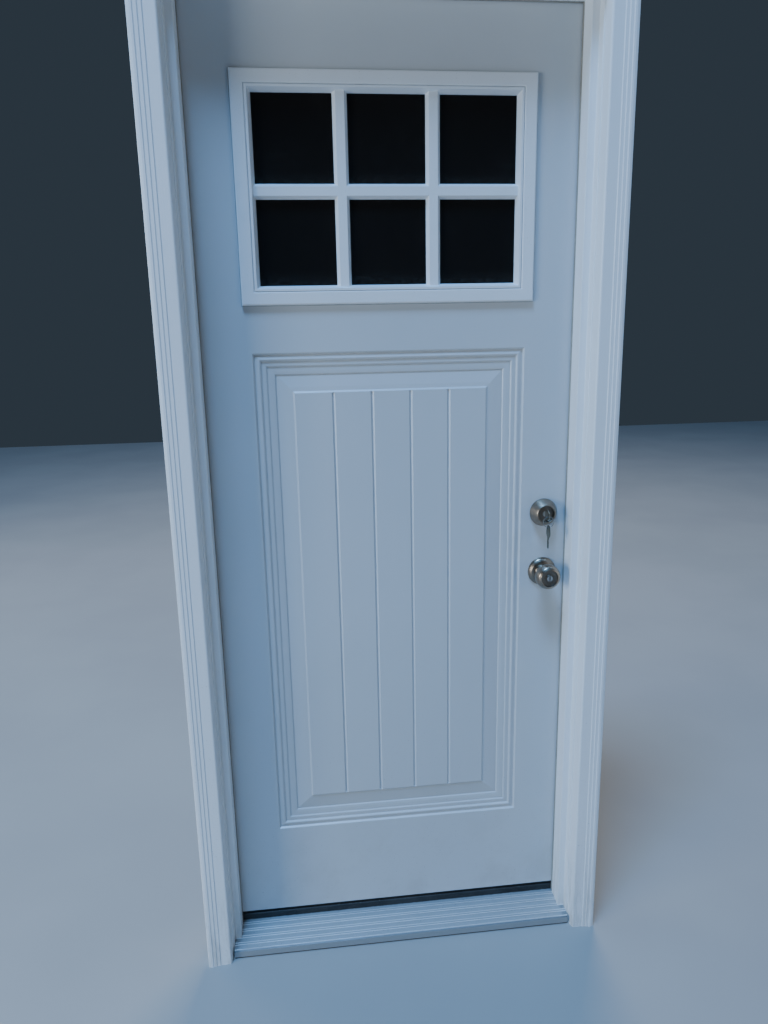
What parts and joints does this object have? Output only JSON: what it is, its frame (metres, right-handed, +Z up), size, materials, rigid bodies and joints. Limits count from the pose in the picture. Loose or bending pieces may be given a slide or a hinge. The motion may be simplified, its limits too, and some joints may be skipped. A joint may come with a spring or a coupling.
{
  "type": "panelled front door",
  "caption": "Inswing panelled front door hung in its frame, with a divided window above a plank panel, a deadbolt with its key, a keyed knob and a ribbed sill.",
  "frame": {"origin": "middle of the doorway's width, on the underside of the sill, in the plane of the frame's outside edge, which is also the back of the outside moulding", "axes": "+Z up, -Y the outside face, +Y into the house, +X towards the lock side, which is on the right seen from outside"},
  "size_m": [0.937, 0.2103, 2.1423],
  "materials": {
    "painted_wood": "satin",
    "painted_skin": "satin",
    "lite_plastic": "satin",
    "bare_wood": "matte",
    "sill_core": "matte",
    "core_foam": "matte",
    "mill_aluminium": "satin",
    "sill_rail": "satin",
    "seal_foam": "matte",
    "black_vinyl": "satin",
    "window_glass": "gloss",
    "spacer_bar": "satin",
    "satin_nickel": "satin",
    "hinge_steel": "satin",
    "zinc_steel": "satin",
    "key_brass": "satin"
  },
  "bodies": {
    "frame": {"hinge_jamb": "painted_wood", "strike_jamb": "painted_wood", "head_jamb": "painted_wood", "brickmould_left": "painted_wood", "brickmould_right": "painted_wood", "brickmould_head": "painted_wood", "sill_substrate": "sill_core", "sill_deck": "mill_aluminium", "sill_cap": "sill_rail", "sill_cap_screws": "zinc_steel", "weatherstrip_hinge_side": "seal_foam", "weatherstrip_strike_side": "seal_foam", "weatherstrip_head": "seal_foam", "corner_seal_pads": "seal_foam", "latch_strike_plate": "satin_nickel", "deadbolt_strike_plate": "satin_nickel", "strike_screws": "satin_nickel", "frame_hinge_leaves": "hinge_steel", "hinge_pins": "hinge_steel", "frame_hinge_screws": "hinge_steel"},
    "leaf": {"exterior_skin": "painted_skin", "interior_skin": "painted_skin", "hinge_stile": "bare_wood", "lock_stile": "bare_wood", "top_rail": "bare_wood", "bottom_rail": "bare_wood", "lock_block": "bare_wood", "foam_core": "core_foam", "exterior_lite_frame": "lite_plastic", "exterior_grille": "lite_plastic", "interior_lite_frame": "lite_plastic", "interior_grille": "lite_plastic", "glass_outer": "window_glass", "glass_inner": "window_glass", "glass_spacer": "spacer_bar", "lite_frame_screws": "zinc_steel", "lite_screw_plugs": "lite_plastic", "door_sweep": "black_vinyl", "door_hinge_leaves": "hinge_steel", "door_hinge_screws": "hinge_steel", "deadbolt_collar": "satin_nickel", "deadbolt_inner_plate": "satin_nickel", "lock_mounting_screws": "zinc_steel", "deadbolt_case": "satin_nickel", "exterior_knob_rose": "satin_nickel", "interior_knob_rose": "satin_nickel", "latch_case": "satin_nickel", "faceplate_screws": "satin_nickel"},
    "knobs": {"exterior_knob": "satin_nickel", "interior_knob": "satin_nickel", "knob_spindle": "zinc_steel"},
    "knob_plug": {"knob_plug": "key_brass"},
    "knob_lock_button": {"knob_lock_button": "satin_nickel"},
    "latch_bolt": {"latch_bolt": "satin_nickel"},
    "deadbolt_plug": {"deadbolt_plug": "key_brass"},
    "thumbturn": {"thumbturn": "satin_nickel"},
    "deadbolt_bolt": {"deadbolt_bolt": "satin_nickel"},
    "door_key": {"door_key": "key_brass"},
    "key_ring": {"key_ring": "zinc_steel"},
    "spare_key": {"spare_key": "key_brass"}
  },
  "joints": [
    {"name": "door_swing", "type": "hinge", "parent": "frame", "child": "leaf", "pos_m": [-0.40485, 0.1224, 1], "axis": [0, 0, 1], "range_deg": [0, 170]},
    {"name": "knob_turn", "type": "hinge", "parent": "leaf", "child": "knobs", "pos_m": [0.34292, 0.09367, 0.899], "axis": [0, 1, 0], "range_deg": [-60, 60], "stiffness_Nm_per_rad": 0.4},
    {"name": "knob_plug_turn", "type": "hinge", "parent": "knobs", "child": "knob_plug", "pos_m": [0.34292, 0.02, 0.899], "axis": [0, 1, 0], "range_deg": [0, 90]},
    {"name": "lock_button_turn", "type": "hinge", "parent": "knobs", "child": "knob_lock_button", "pos_m": [0.34292, 0.17, 0.899], "axis": [0, 1, 0], "range_deg": [0, 90]},
    {"name": "latch_slide", "type": "slide", "parent": "leaf", "child": "latch_bolt", "axis": [1, 0, 0], "range_m": [0, 0.0127], "stiffness_N_per_m": 250, "springref_m": 0.0127},
    {"name": "deadbolt_key_turn", "type": "hinge", "parent": "leaf", "child": "deadbolt_plug", "pos_m": [0.34292, 0.06, 1.0387], "axis": [0, 1, 0], "range_deg": [0, 90]},
    {"name": "deadbolt_slide", "type": "slide", "parent": "leaf", "child": "deadbolt_bolt", "axis": [1, 0, 0], "range_m": [0, 0.0254]},
    {"name": "thumbturn_turn", "type": "hinge", "parent": "leaf", "child": "thumbturn", "pos_m": [0.34292, 0.12, 1.0387], "axis": [0, 1, 0], "range_deg": [0, 90]},
    {"name": "key_pull", "type": "slide", "parent": "deadbolt_plug", "child": "door_key", "axis": [0, -1, 0], "range_m": [0, 0.03]},
    {"name": "ring_swing", "type": "hinge", "parent": "door_key", "child": "key_ring", "pos_m": [0.34292, 0.03165, 1.0387], "axis": [0, 1, 0], "range_deg": [-15, 0]},
    {"name": "spare_key_swing", "type": "hinge", "parent": "key_ring", "child": "spare_key", "pos_m": [0.34292, 0.03165, 1.0249], "axis": [0, 1, 0], "range_deg": [-75, 0]}
  ],
  "couplings": [
    {"joint": "deadbolt_key_turn", "follows": "deadbolt_slide", "rad_per_m": 61.84},
    {"joint": "thumbturn_turn", "follows": "deadbolt_slide", "rad_per_m": 61.84},
    {"joint": "ring_swing", "follows": "deadbolt_slide", "rad_per_m": -10.306},
    {"joint": "spare_key_swing", "follows": "deadbolt_slide", "rad_per_m": -51.53}
  ]
}
